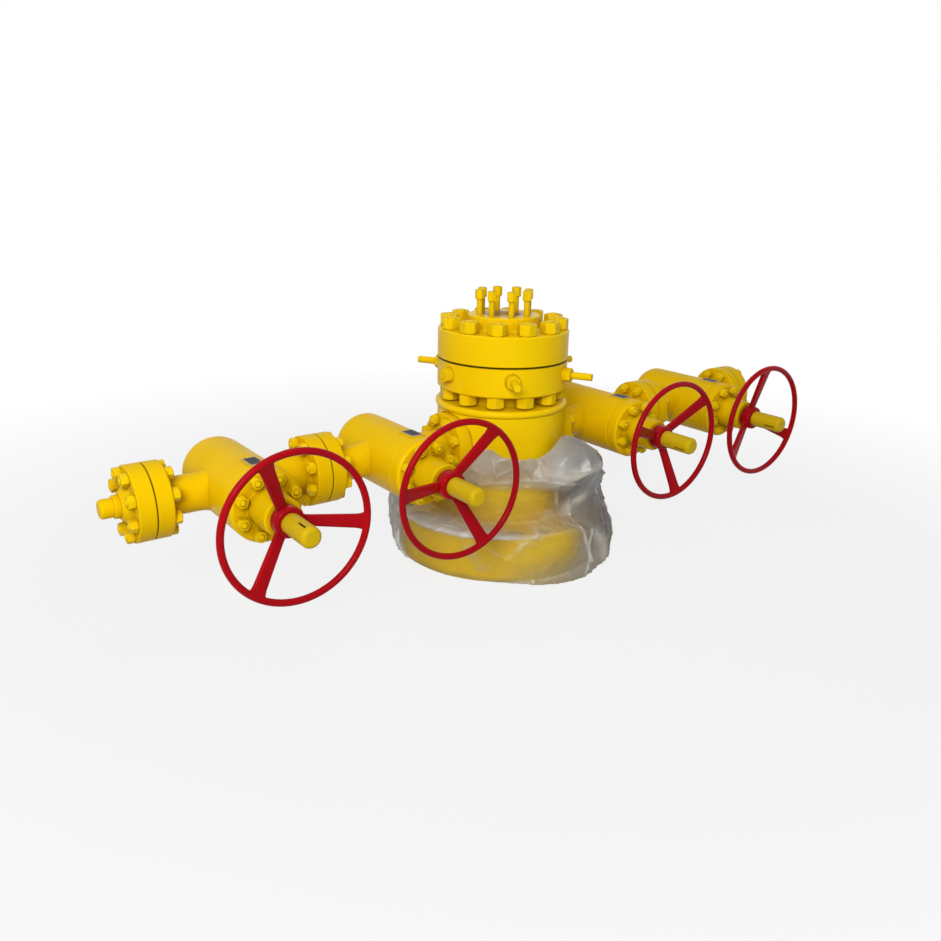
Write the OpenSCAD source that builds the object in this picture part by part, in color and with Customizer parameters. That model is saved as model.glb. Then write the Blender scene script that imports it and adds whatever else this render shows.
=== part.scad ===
// Wellhead valve stack: a flanged tubing head with a bolted adapter on top and two
// gate valves on each side. Sizes are in mm. The origin is the centre of the base
// flange's bottom face, +Z is up, +X runs along the right arm and the stems point to -Y.

/* [Base flange] */
// Outer diameter of the base flange
base_od = 768; // [740:1:800]
// Thickness of the base flange
base_t = 168; // [150:1:185]
// Distance from the base flange's edge to its bolt circle
base_rim = 47.45; // [42:0.05:52]
// Number of bolt holes in the base flange
base_bolts = 20; // [16:4:20]
// Diameter of the base bolt holes
base_hole = 50.8; // [44:0.1:54]
// Bore at the bottom of the head
base_bore = 346; // [320:1:360]
// Depth of the wide bore before it narrows
base_bore_h = 60; // [40:1:90]
// Ring groove in the base face, mean diameter
base_groove_d = 414; // [400:1:430]

/* [Head body] */
// Diameter of the hub just above the base flange
hub_od = 510; // [480:1:530]
// Height of that hub
hub_h = 92; // [80:1:100]
// Height of the cone from the hub to the body
taper_h = 61; // [50:1:70]
// Diameter of the body
body_od = 477; // [466:1:484]
// Height of the straight body
body_h = 237; // [236:1:250]
// Diameter of the rounded ring at the top of the body
ring_od = 492; // [488:1:504]
// Height of that ring
ring_h = 26; // [20:1:32]
// Bore of the body
body_bore = 236; // [210:1:250]
// Height of the arm axis above the floor
arm_z = 438; // [436:1:440]

/* [Main joint] */
// Outer diameter of the joint flanges
joint_od = 479.4; // [470:0.1:490]
// Thickness of each joint flange with its raised face
joint_t = 107; // [100:1:115]
// Distance from the joint flange's edge to its bolt circle
joint_rim = 38.2; // [36:0.1:40]
// Number of joint studs
joint_bolts = 12; // [10:2:12]
// Diameter of the joint studs
joint_stud = 38.1; // [34:0.1:40]
// Nut size across flats on the joint studs
joint_nut_af = 60.3; // [56:0.1:64]
// Height of the joint nuts
joint_nut_h = 40; // [36:1:42]
// Room between the joint nuts and the neck they stand round
nut_room = 3.69; // [2:0.01:8]
// Bore through the joint flanges
joint_bore = 179.4; // [170:0.1:185]
// Height of every raised face
raised_h = 2; // [1:0.5:3]
// Diameter of the joint's raised face
joint_raised_d = 302; // [290:1:310]

/* [Lock screws] */
// Number of lock screws round the head flange
lock_screws_n = 6; // [4:2:6]
// Height of the lock screws above the underside of their flange
lock_up = 61; // [50:1:66]
// Diameter of the lock screws
lock_d = 26; // [18:1:28]
// How far the lock screws stand out of the flange
lock_out = 104; // [80:1:120]
// How far the screw over the left arm stands out, screwed in
lock_in_out = 30; // [28:1:50]
// Gland nut size across flats
gland_af = 46; // [40:1:48]
// Height of the gland nut
gland_h = 20; // [16:1:24]
// Thickness of the gland's collar
gland_collar_h = 11; // [8:1:14]
// Diameter of the gland's collar
gland_collar_d = 54; // [50:1:56]

/* [Adapter hub] */
// Diameter of the studded hub on top
top_hub_od = 262; // [250:1:280]
// Height of the studded hub
top_hub_h = 47; // [42:1:60]
// Distance from the hub's edge to its bolt circle
top_rim = 38.9; // [34:0.1:42]
// Bore of the studded hub
top_bore = 65.1; // [60:0.1:70]
// Number of studs in the hub
top_studs_n = 8; // [6:2:8]
// Height of those studs above the hub
top_stud_h = 88; // [80:1:120]
// Depth of the studs in the hub
top_stud_depth = 38; // [30:1:40]
// Nut size across flats on those studs
top_nut_af = 30; // [28:0.5:37]
// Height of those nuts
top_nut_h = 34; // [22:1:38]
// Mean diameter of the ring groove in the hub
top_groove_d = 101; // [96:1:106]

/* [Side flanges] */
// Outer diameter of the side flanges
side_od = 232; // [226:1:236]
// Thickness of a side flange with its raised face
side_t = 51; // [46:1:56]
// Distance from a side flange's edge to its bolt circle
side_rim = 23.9; // [22:0.1:25]
// Number of side flange studs
side_bolts = 8; // [6:2:8]
// Diameter of the side flange studs
side_stud = 22.2; // [20:0.1:24]
// Nut size across flats on the side studs
side_nut_af = 36.5; // [34:0.1:38]
// Height of the side nuts
side_nut_h = 22; // [20:1:24]
// Bore of the valves and outlets
side_bore = 65.1; // [60:0.1:70]
// Diameter of the side raised faces
side_raised_d = 140; // [130:1:144]
// How far each stud ends past its nut
stud_tip = 4; // [2:1:6]
// Depth of the studs in the body's outlets
outlet_stud_depth = 36; // [30:1:40]
// Distance from the body axis to the outlet face
outlet_x = 215.5; // [212:0.5:220]

/* [Gate valves] */
// Length of a valve over its flange faces
valve_ff = 553; // [540:1:570]
// Diameter of the valve's barrel
barrel_od = 224; // [216:1:230]
// How far the barrel reaches behind the bore axis
barrel_back = 215; // [205:1:230]
// How far the barrel reaches in front of the bore axis
barrel_front = 190; // [184:1:200]
// Rounding of the barrel's closed end
barrel_round = 58; // [30:1:70]
// Diameter of the necks between barrel and flanges
neck_d = 118; // [110:1:124]
// How much wider a neck grows towards the barrel, on the radius
flare_r = 36; // [28:1:40]
// How far that flare reaches past the barrel
flare_out = 22; // [6:1:40]
// Diameter of the bonnet flange
bonnet_od = 224; // [216:1:230]
// Thickness of the bonnet flange
bonnet_t = 45; // [40:1:50]
// Distance from the bonnet's edge to its bolt circle
bonnet_rim = 24; // [22:0.5:26]
// Number of bonnet studs
bonnet_bolts = 8; // [6:2:8]
// Diameter of the bonnet studs
bonnet_stud = 19; // [16:1:22]
// Nut size across flats on the bonnet studs
bonnet_nut_af = 32; // [30:0.5:34]
// Height of the bonnet nuts
bonnet_nut_h = 24; // [18:1:28]
// Depth of the bonnet studs in the barrel
bonnet_stud_depth = 36; // [30:1:44]
// Room between the bonnet nuts and the neck they stand round
bonnet_room = 7.5; // [6.5:0.5:12]
// How much narrower the bonnet neck is at its front
bonnet_draft = 8; // [0:1:30]
// Length of the bonnet neck
bonnet_neck_h = 110; // [100:1:120]

/* [Handwheels] */
// Outer diameter of the handwheel
wheel_od = 456; // [430:1:480]
// Thickness of the rim tube
rim_d = 21.4; // [18:0.2:25]
// Diameter of the wheel's hub
wheel_hub_d = 92; // [86:1:98]
// Height of the wheel's hub
wheel_hub_h = 44; // [36:1:50]
// How far the rim stands in front of the hub's middle
dish = 61; // [40:1:70]
// Width of a spoke
spoke_w = 31; // [26:1:36]
// Thickness of a spoke
spoke_t = 9; // [7:0.5:12]
// Diameter of the drive sleeve that turns in the bonnet
sleeve_d = 44; // [40:1:48]
// Length of the sleeve inside the bonnet
sleeve_in = 34; // [28:1:40]
// Gap between the bonnet and the turning hub
hub_gap = 3; // [2:0.5:5]
// Running clearance of the sleeve, on the radius
run_clear = 0.05; // [0.02:0.01:0.08]
// Diameter of the stem cap
cap_d = 62; // [56:1:66]
// Wall of the stem cap
cap_wall = 6; // [4:0.5:8]
// Length of the stem cap in front of the hub
cap_h = 129; // [110:1:160]
// Distance from the cap's tip to the middle of its slot
cap_slot_at = 41; // [38:1:80]
// Length of the slot in the cap
cap_slot = 44; // [30:1:50]
// Width of the slot in the cap
cap_slot_w = 6; // [4:0.5:8]

/* [Nameplates] */
// Length of a nameplate along the barrel
plate_l = 68; // [60:1:80]
// Width of a nameplate
plate_w = 42; // [24:1:48]
// Thickness of a nameplate
plate_t = 2; // [1:0.5:3]
// Distance from the nameplate to the bonnet flange
plate_gap = 10; // [6:1:20]
// Turn of the nameplate round the barrel
plate_turn = 0; // [0:1:25]

/* [End closures] */
// Diameter of the boss on the end flange
end_boss_d = 128; // [120:1:136]
// Height of that boss
end_boss_h = 24; // [18:1:30]
// Diameter of the plug's collar
plug_collar_d = 70; // [60:1:76]
// Thickness of the plug's collar
plug_collar_h = 18; // [12:1:24]
// Diameter of the plug's tip
plug_tip_d = 58; // [44:1:62]
// Length of the plug's tip
plug_tip_h = 38; // [24:1:44]
// Diameter of the plug inside the flange
plug_in_d = 40; // [34:1:44]
// Depth of the plug in the flange
plug_in_h = 30; // [24:1:40]

/* [Film wrap] */
// Gap between the film and the metal
film_gap = 0.3; // [0.3:0.1:1]
// Thickness of the wrapped film layers
film_t = 4; // [3:0.5:6]
// Height of the film's hem above the floor
film_hem = 6; // [4:1:12]
// Width of the film's lip on the base flange
film_lip = 14; // [8:1:18]

/* [Hidden] */
// Clearance round studs in through holes and in tapped holes, on the radius
hole_clear = 1.5;
tap_clear = 0.2;
// Edge break on the big flanges and on the small ones
edge = 5;
side_edge = 3;
// Room round what sits on a seat that is cut flat
seat_room = 2;
// Fillets where hubs and necks grow out of flanges
root_r = 12;
top_root_r = 8;

// Across-corners radius of a hexagon from its size across flats
function hex_r(af) = af / 2 / cos(30);

base_r = base_od / 2;
base_pcd = base_od - 2 * base_rim;
joint_pcd = joint_od - 2 * joint_rim;
top_pcd = top_hub_od - 2 * top_rim;
side_pcd = side_od - 2 * side_rim;
bonnet_pcd = bonnet_od - 2 * bonnet_rim;
neck_od = joint_pcd - 2 * (hex_r(joint_nut_af) + nut_room);
bonnet_neck_d = bonnet_pcd - 2 * (hex_r(bonnet_nut_af) + bonnet_room);
bonnet_front_d = bonnet_neck_d - bonnet_draft;
hub_top = base_t + hub_h;
body_bottom = hub_top + taper_h;
body_top = body_bottom + body_h;
ring_top = body_top + ring_h;
joint_bottom = ring_top + joint_nut_h + stud_tip + 3;
joint_z = joint_bottom + joint_t;
joint_top = joint_z + joint_t;
top_z = joint_top + top_hub_h;
lock_z = joint_bottom + lock_up;

// Valve order along the arms: left outer, left inner, right inner, right outer
valve_x = [
    -(outlet_x + 1.5 * valve_ff),
    -(outlet_x + 0.5 * valve_ff),
    outlet_x + 0.5 * valve_ff,
    outlet_x + 1.5 * valve_ff
];
// Resting angles of the wheels and of the cap slots, seen from the front
wheel_turn = [113, 55, 41, 95];
slot_turn = [110, 300, 204, 195];

end_x = outlet_x + 2 * valve_ff;
bonnet_front = barrel_front + bonnet_t + bonnet_neck_h;
hub_back = bonnet_front + hub_gap;
hub_front = hub_back + wheel_hub_h;
hub_mid = (hub_back + hub_front) / 2;
rim_y = hub_mid + dish;
rim_r = (wheel_od - rim_d) / 2;

paint = "gold";
paint_dark = "goldenrod";

// Points of a quarter round from angle a0 to a1, about a centre, in a profile
function arc(cx, cy, r, a0, a1, n = 6) =
    [for (i = [0:n]) let (a = a0 + (a1 - a0) * i / n) [cx + r * cos(a), cy + r * sin(a)]];

// Places its children at every step of a bolt circle that straddles the axes
module round_pattern(n, pcd) {
    for (i = [0:n - 1])
        rotate([0, 0, (i + 0.5) * 360 / n])
            translate([pcd / 2, 0, 0])
                children();
}

// A hexagon nut standing on z = 0
module nut(af, h) {
    cylinder(r = hex_r(af), h = h, $fn = 6);
}

// Turns a shape made along +Z so that it points along +X
module along_x() {
    rotate([0, 90, 0])
        children();
}

// Frame of one valve: local +Z points to the front, local +X to the right, local +Y up
module at_valve(i) {
    translate([valve_x[i], 0, arm_z])
        rotate([90, 0, 0])
            children();
}

module left_and_right() {
    children();
    mirror([1, 0, 0])
        children();
}

module head_profile() {
    polygon(concat(
        [[base_bore / 2, 0], [base_r - edge, 0], [base_r, edge], [base_r, base_t - edge],
         [base_r - edge, base_t]],
        arc(hub_od / 2 + root_r, base_t + root_r, root_r, 270, 180),
        [[hub_od / 2, hub_top - edge], [hub_od / 2 - edge, hub_top], [body_od / 2, body_bottom],
         [body_od / 2, body_top]],
        arc(ring_od / 2 - ring_h / 2, body_top + ring_h / 2, ring_h / 2, -90, 90, 10),
        [[neck_od / 2, ring_top], [neck_od / 2, joint_bottom], [joint_od / 2 - edge, joint_bottom],
         [joint_od / 2, joint_bottom + edge], [joint_od / 2, joint_z - raised_h],
         [joint_raised_d / 2, joint_z - raised_h], [joint_raised_d / 2, joint_z],
         [joint_bore / 2, joint_z], [joint_bore / 2, joint_bottom - root_r],
         [body_bore / 2, body_top], [body_bore / 2, base_t],
         [base_bore / 2, base_bore_h]]
    ));
}

module tubing_head() {
    color(paint)
        difference() {
            union() {
                rotate_extrude($fn = 128)
                    head_profile();
                outlet_bosses();
            }
            outlet_faces();
            outlet_bores();
            rotate_extrude($fn = 128)
                groove(base_groove_d, 0, 18, 12);
            translate([0, 0, -1])
                round_pattern(base_bolts, base_pcd)
                    cylinder(d = base_hole, h = base_t + 2, $fn = 48);
            translate([0, 0, joint_bottom - 1])
                round_pattern(joint_bolts, joint_pcd)
                    cylinder(r = joint_stud / 2 + hole_clear, h = joint_t + 2, $fn = 48);
            lock_screw_seats();
        }
}

// Section of a square ring groove of a mean diameter, cut from height z upwards or downwards
module groove(d, z, w, depth) {
    translate([d / 2 - w / 2, z - depth])
        square([w, 2 * depth]);
}

module outlet_bosses() {
    left_and_right()
        translate([body_bore / 2 + 10, 0, arm_z])
            along_x()
                cylinder(d = side_od, h = outlet_x - raised_h - body_bore / 2 - 10, $fn = 96);
}

// Flat seats of the outlets, each with its raised face left standing
module outlet_faces() {
    left_and_right()
        translate([outlet_x, 0, arm_z])
            along_x()
                difference() {
                    translate([0, 0, -raised_h])
                        cylinder(d = side_od + 2 * seat_room, h = side_t, $fn = 96);
                    translate([0, 0, -2 * raised_h])
                        cylinder(d = side_raised_d, h = 2 * raised_h, $fn = 96);
                }
}

module outlet_bores() {
    left_and_right()
        translate([0, 0, arm_z])
            along_x() {
                cylinder(d = side_bore, h = outlet_x + 1, $fn = 64);
                translate([0, 0, outlet_x - raised_h - outlet_stud_depth])
                    round_pattern(side_bolts, side_pcd)
                        cylinder(r = side_stud / 2 + tap_clear, h = outlet_x, $fn = 32);
            }
}

// Radius of the flat spot that carries each lock screw's collar
lock_seat_r = joint_od / 2 - 2.5;

module lock_screw_seats() {
    for (i = [0:lock_screws_n - 1])
        rotate([0, 0, i * 360 / lock_screws_n])
            translate([0, 0, lock_z])
                along_x() {
                    translate([0, 0, lock_seat_r])
                        cylinder(d = gland_collar_d + 2 * seat_room, h = gland_collar_h, $fn = 48);
                    cylinder(r = lock_d / 2 + tap_clear, h = joint_od / 2, $fn = 32);
                }
}

// How far a lock screw stands out: the one over the left arm is screwed in
function screw_out(i) = i * 360 / lock_screws_n == 180 ? lock_in_out : lock_out;

module lock_screws() {
    color(paint)
        for (i = [0:lock_screws_n - 1])
            rotate([0, 0, i * 360 / lock_screws_n])
                translate([0, 0, lock_z])
                    along_x() {
                        translate([0, 0, joint_bore / 2 + 10])
                            cylinder(d = lock_d, h = joint_od / 2 + screw_out(i) - joint_bore / 2 - 10,
                                     $fn = 32);
                        translate([0, 0, lock_seat_r])
                            cylinder(d = gland_collar_d, h = gland_collar_h, $fn = 48);
                        translate([0, 0, lock_seat_r + gland_collar_h])
                            nut(gland_af, gland_h);
                    }
}

module adapter_profile() {
    polygon(concat(
        [[joint_bore / 2, joint_z], [joint_raised_d / 2, joint_z],
         [joint_raised_d / 2, joint_z + raised_h], [joint_od / 2, joint_z + raised_h],
         [joint_od / 2, joint_top - edge], [joint_od / 2 - edge, joint_top]],
        arc(top_hub_od / 2 + top_root_r, joint_top + top_root_r, top_root_r, 270, 180),
        [[top_hub_od / 2, top_z - side_edge], [top_hub_od / 2 - side_edge, top_z],
         [top_bore / 2, top_z], [top_bore / 2, joint_z + joint_t / 2]]
    ));
}

module head_adapter() {
    color(paint)
        difference() {
            rotate_extrude($fn = 128)
                adapter_profile();
            rotate_extrude($fn = 128)
                groove(top_groove_d, top_z, 14, 7);
            translate([0, 0, joint_z - 1])
                round_pattern(joint_bolts, joint_pcd)
                    cylinder(r = joint_stud / 2 + hole_clear, h = joint_t + 2, $fn = 48);
            translate([0, 0, top_z - top_stud_depth])
                round_pattern(top_studs_n, top_pcd)
                    cylinder(r = side_stud / 2 + tap_clear, h = top_stud_depth + 1, $fn = 32);
        }
}

module head_joint_studs() {
    low_nut = joint_bottom - joint_nut_h;
    color(paint_dark)
        round_pattern(joint_bolts, joint_pcd) {
            translate([0, 0, low_nut - stud_tip])
                cylinder(d = joint_stud, h = 2 * (joint_t + joint_nut_h + stud_tip), $fn = 48);
            translate([0, 0, low_nut])
                nut(joint_nut_af, joint_nut_h);
            translate([0, 0, joint_top])
                nut(joint_nut_af, joint_nut_h);
        }
}

module top_studs() {
    color(paint_dark)
        translate([0, 0, top_z])
            round_pattern(top_studs_n, top_pcd) {
                translate([0, 0, -top_stud_depth])
                    cylinder(d = side_stud, h = top_stud_depth + top_stud_h - 1, $fn = 32);
                translate([0, 0, top_stud_h - top_nut_h])
                    nut(top_nut_af, top_nut_h);
            }
}

// Film wrapped round the rim of the base flange and round the hub
module base_film() {
    rim_in = base_r + film_gap;
    collar_in = hub_od / 2 + film_gap;
    lip_z = base_t + film_gap;
    collar_low = base_t + root_r + film_gap;
    collar_high = body_bottom;
    color("lightgray")
        rotate_extrude($fn = 96) {
            polygon([
                [rim_in, film_hem], [rim_in + film_t, film_hem], [rim_in + film_t, lip_z + film_t],
                [base_r - film_lip, lip_z + film_t], [base_r - film_lip, lip_z], [rim_in, lip_z]
            ]);
            polygon([
                [collar_in, collar_low], [collar_in + film_t, collar_low],
                [collar_in + film_t, hub_top], [body_od / 2 + film_gap + film_t, collar_high],
                [body_od / 2 + film_gap, collar_high], [collar_in, hub_top]
            ]);
        }
}

module side_holes(depth, clear) {
    translate([0, 0, -1])
        round_pattern(side_bolts, side_pcd)
            cylinder(r = side_stud / 2 + clear, h = depth + 2, $fn = 32);
}

// One flange seen along +Z, with its raised face at z = 0 and its back at z = -side_t
function flange_outline(face) = [
    [face - side_t, side_od / 2 - side_edge],
    [face - side_t + side_edge, side_od / 2],
    [face - raised_h - 1, side_od / 2],
    [face - raised_h, side_od / 2 - 1],
    [face - raised_h, side_raised_d / 2],
    [face, side_raised_d / 2]
];

// Half of the valve's run: neck and flange, drawn as distance and radius. The flare is a
// quarter of an ellipse that starts just inside the barrel.
module valve_run_half() {
    face = valve_ff / 2;
    back = face - side_t;
    neck_r = neck_d / 2;
    barrel_r = barrel_od / 2;
    grow = min(flare_r, barrel_r - neck_r - side_edge);
    wide = neck_r + grow;
    flare_x = barrel_r + flare_out;
    flare_l = flare_x - sqrt(barrel_r * barrel_r - wide * wide) + 1;
    flare = [for (a = [180:10:270]) [flare_x + flare_l * cos(a), wide + grow * sin(a)]];
    run = concat(
        [[0, 0], [0, wide]],
        flare,
        arc(back - root_r, neck_r + root_r, root_r, 270, 360),
        flange_outline(face),
        [[face, 0]]
    );
    along_x()
        rotate_extrude($fn = 96)
            polygon([for (p = run) [p[1], p[0]]]);
}

module barrel_profile() {
    r = barrel_od / 2;
    polygon(concat(
        [[0, -barrel_back]],
        arc(r - barrel_round, -barrel_back + barrel_round, barrel_round, -90, 0, 8),
        [[r, barrel_front - 4], [r - 4, barrel_front], [0, barrel_front]]
    ));
}

module plate_place(lift) {
    rotate([0, 0, plate_turn])
        translate([-plate_w / 2, lift, barrel_front - plate_gap - plate_l])
            children();
}

plate_pad = 5;
plate_seat = barrel_od / 2 + 1.5;

module valve_body(i) {
    color(paint)
        at_valve(i)
            difference() {
                union() {
                    rotate_extrude($fn = 96)
                        barrel_profile();
                    left_and_right()
                        valve_run_half();
                    plate_place(plate_seat - 20)
                        translate([-plate_pad, 0, -plate_pad])
                            cube([plate_w + 2 * plate_pad, 20, plate_l + 2 * plate_pad]);
                }
                translate([-valve_ff, 0, 0])
                    along_x()
                        cylinder(d = side_bore, h = 2 * valve_ff, $fn = 64);
                left_and_right()
                    translate([valve_ff / 2 - side_t, 0, 0])
                        along_x()
                            side_holes(side_t, hole_clear);
                translate([0, 0, barrel_front - bonnet_stud_depth])
                    round_pattern(bonnet_bolts, bonnet_pcd)
                        cylinder(r = bonnet_stud / 2 + tap_clear, h = bonnet_stud_depth + 1,
                                 $fn = 32);
            }
}

module nameplate(i) {
    color("dimgray")
        at_valve(i)
            plate_place(plate_seat)
                cube([plate_w, plate_t, plate_l]);
}

module bonnet(i) {
    flange_front = barrel_front + bonnet_t;
    r = bonnet_od / 2;
    fillet = 6;
    color(paint)
        at_valve(i)
            difference() {
                rotate_extrude($fn = 96)
                    polygon(concat(
                        [[0, barrel_front], [r - 4, barrel_front], [r, barrel_front + 4],
                         [r, flange_front - 8], [r - 8, flange_front]],
                        arc(bonnet_neck_d / 2 + fillet, flange_front + fillet, fillet, 270, 180),
                        [[bonnet_front_d / 2, bonnet_front - 4],
                         [bonnet_front_d / 2 - 4, bonnet_front], [0, bonnet_front]]
                    ));
                translate([0, 0, barrel_front - 1])
                    round_pattern(bonnet_bolts, bonnet_pcd)
                        cylinder(r = bonnet_stud / 2 + hole_clear, h = bonnet_t + 2, $fn = 32);
                translate([0, 0, bonnet_front - sleeve_in - 2])
                    cylinder(r = sleeve_d / 2 + run_clear, h = sleeve_in + 3, $fn = 64);
            }
}

module bonnet_nuts(i) {
    color(paint_dark)
        at_valve(i)
            round_pattern(bonnet_bolts, bonnet_pcd) {
                translate([0, 0, barrel_front - bonnet_stud_depth + 1])
                    cylinder(d = bonnet_stud,
                             h = bonnet_stud_depth - 1 + bonnet_t + bonnet_nut_h + stud_tip,
                             $fn = 32);
                translate([0, 0, barrel_front + bonnet_t])
                    nut(bonnet_nut_af, bonnet_nut_h);
            }
}

module spoke() {
    hub_at = wheel_hub_d / 2 - 8;
    slope = atan2(dish, rim_r - hub_at);
    translate([hub_at, 0, hub_mid])
        rotate([0, -slope, 0])
            translate([0, -spoke_w / 2, -spoke_t / 2])
                cube([(rim_r - hub_at) / cos(slope), spoke_w, spoke_t]);
}

module handwheel(i) {
    color("firebrick")
        at_valve(i) {
            rotate([0, 0, wheel_turn[i]]) {
                for (k = [0:2])
                    rotate([0, 0, 120 * k])
                        spoke();
                translate([0, 0, rim_y])
                    rotate_extrude($fn = 96)
                        translate([rim_r, 0])
                            circle(d = rim_d, $fn = 32);
            }
            rotate_extrude($fn = 64)
                polygon([
                    [0, bonnet_front - sleeve_in], [sleeve_d / 2, bonnet_front - sleeve_in],
                    [sleeve_d / 2, hub_back], [wheel_hub_d / 2 - 5, hub_back],
                    [wheel_hub_d / 2, hub_back + 5], [wheel_hub_d / 2, hub_front - 5],
                    [wheel_hub_d / 2 - 5, hub_front], [0, hub_front]
                ]);
        }
}

module stem_cap(i) {
    r = cap_d / 2;
    round_r = 14;
    tip = hub_front + cap_h;
    bore_r = r - cap_wall;
    color("khaki")
        at_valve(i)
            difference() {
                rotate_extrude($fn = 64)
                    polygon(concat(
                        [[bore_r, hub_front], [r, hub_front]],
                        arc(r - round_r, tip - round_r, round_r, 0, 90, 8),
                        [[0, tip], [0, tip - cap_wall], [bore_r, tip - round_r]]
                    ));
                rotate([0, 0, slot_turn[i]])
                    translate([bore_r - 4, -cap_slot_w / 2, tip - cap_slot_at - cap_slot / 2])
                        cube([cap_wall + 8, cap_slot_w, cap_slot]);
            }
}

// Studs of a side joint, along +X from their face at x = 0, with a nut past each flange
module joint_studs(back_depth, back_nut) {
    reach = side_t + side_nut_h + stud_tip;
    start = back_nut ? -reach : -back_depth;
    color(paint_dark)
        along_x()
            round_pattern(side_bolts, side_pcd) {
                translate([0, 0, start])
                    cylinder(d = side_stud, h = reach - start, $fn = 32);
                translate([0, 0, side_t])
                    nut(side_nut_af, side_nut_h);
                if (back_nut)
                    translate([0, 0, -side_t - side_nut_h])
                        nut(side_nut_af, side_nut_h);
            }
}

module outlet_studs() {
    translate([outlet_x, 0, arm_z])
        joint_studs(raised_h + outlet_stud_depth - 1, false);
}

module middle_studs() {
    translate([outlet_x + valve_ff, 0, arm_z])
        joint_studs(0, true);
}

module end_studs() {
    translate([end_x, 0, arm_z])
        joint_studs(0, true);
}

module end_flange() {
    boss = side_t + end_boss_h;
    color(paint)
        translate([end_x, 0, arm_z])
            along_x()
                difference() {
                    rotate_extrude($fn = 96)
                        polygon(concat(
                            [[0, 0], [side_raised_d / 2, 0], [side_raised_d / 2, raised_h],
                             [side_od / 2, raised_h], [side_od / 2, side_t - side_edge],
                             [side_od / 2 - side_edge, side_t], [end_boss_d / 2, side_t],
                             [plug_collar_d / 2 + 4, boss], [0, boss]]
                        ));
                    side_holes(side_t, hole_clear);
                    translate([0, 0, boss - plug_in_h - 1])
                        cylinder(r = plug_in_d / 2 + tap_clear, h = plug_in_h + 2, $fn = 48);
                }
}

module end_plug() {
    boss = side_t + end_boss_h;
    r = plug_tip_d / 2;
    tip = boss + plug_collar_h + plug_tip_h;
    round_r = 10;
    color(paint)
        translate([end_x, 0, arm_z])
            along_x()
                rotate_extrude($fn = 64)
                    polygon(concat(
                        [[0, boss - plug_in_h], [plug_in_d / 2, boss - plug_in_h],
                         [plug_in_d / 2, boss], [plug_collar_d / 2, boss],
                         [plug_collar_d / 2, boss + plug_collar_h - 3],
                         [plug_collar_d / 2 - 3, boss + plug_collar_h],
                         [r, boss + plug_collar_h]],
                        arc(r - round_r, tip - round_r, round_r, 0, 90, 6),
                        [[0, tip]]
                    ));
}

module on_left() {
    mirror([1, 0, 0])
        children();
}

tubing_head();
head_adapter();
head_joint_studs();
top_studs();
lock_screws();
base_film();
valve_body(0);  // left_outer_valve_body
valve_body(1);  // left_inner_valve_body
valve_body(2);  // right_inner_valve_body
valve_body(3);  // right_outer_valve_body
bonnet(0);  // left_outer_bonnet
bonnet(1);  // left_inner_bonnet
bonnet(2);  // right_inner_bonnet
bonnet(3);  // right_outer_bonnet
bonnet_nuts(0);  // left_outer_bonnet_nuts
bonnet_nuts(1);  // left_inner_bonnet_nuts
bonnet_nuts(2);  // right_inner_bonnet_nuts
bonnet_nuts(3);  // right_outer_bonnet_nuts
nameplate(0);  // left_outer_nameplate
nameplate(1);  // left_inner_nameplate
nameplate(2);  // right_inner_nameplate
nameplate(3);  // right_outer_nameplate
handwheel(0);  // left_outer_handwheel
handwheel(1);  // left_inner_handwheel
handwheel(2);  // right_inner_handwheel
handwheel(3);  // right_outer_handwheel
stem_cap(0);  // left_outer_stem_cap
stem_cap(1);  // left_inner_stem_cap
stem_cap(2);  // right_inner_stem_cap
stem_cap(3);  // right_outer_stem_cap
on_left() outlet_studs();  // left_outlet_studs
on_left() middle_studs();  // left_middle_studs
on_left() end_studs();  // left_end_studs
outlet_studs();  // right_outlet_studs
middle_studs();  // right_middle_studs
end_studs();  // right_end_studs
on_left() end_flange();  // left_end_flange
on_left() end_plug();  // left_end_plug
end_flange();  // right_end_flange
end_plug();  // right_end_plug
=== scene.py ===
"""Looks of the wellhead valve stack: paint, nuts, studs, handwheels and the film round the base.

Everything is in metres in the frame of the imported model: +Z up, +X along the right arm,
the valve stems along -Y.
"""

import math
import random

import bpy
import bmesh
import numpy as np
from mathutils import Matrix, Vector, noise


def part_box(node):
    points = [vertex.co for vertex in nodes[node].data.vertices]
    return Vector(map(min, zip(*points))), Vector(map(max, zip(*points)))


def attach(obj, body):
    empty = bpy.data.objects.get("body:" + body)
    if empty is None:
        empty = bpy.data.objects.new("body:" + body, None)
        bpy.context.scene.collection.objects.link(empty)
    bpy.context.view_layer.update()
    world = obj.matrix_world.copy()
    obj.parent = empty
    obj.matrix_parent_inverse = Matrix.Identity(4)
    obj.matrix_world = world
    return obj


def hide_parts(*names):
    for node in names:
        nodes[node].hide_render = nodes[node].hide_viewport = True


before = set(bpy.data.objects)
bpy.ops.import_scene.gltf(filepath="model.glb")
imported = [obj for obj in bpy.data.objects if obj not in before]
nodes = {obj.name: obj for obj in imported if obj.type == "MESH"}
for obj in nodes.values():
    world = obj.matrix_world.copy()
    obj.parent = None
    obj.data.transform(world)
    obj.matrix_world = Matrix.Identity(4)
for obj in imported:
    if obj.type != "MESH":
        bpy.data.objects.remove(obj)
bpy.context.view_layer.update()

VALVES = ("left_outer", "left_inner", "right_inner", "right_outer")
SIDES = {"left": -1, "right": 1}

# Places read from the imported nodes
ARM_Z = sum(c.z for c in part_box("left_outer_stem_cap")) / 2
JOINT_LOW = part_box("head_joint_studs")[0].z
JOINT_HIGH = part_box("head_joint_studs")[1].z
TOP_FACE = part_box("head_adapter")[1].z
TOP_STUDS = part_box("top_studs")[1].z
BASE_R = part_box("tubing_head")[1].x

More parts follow.
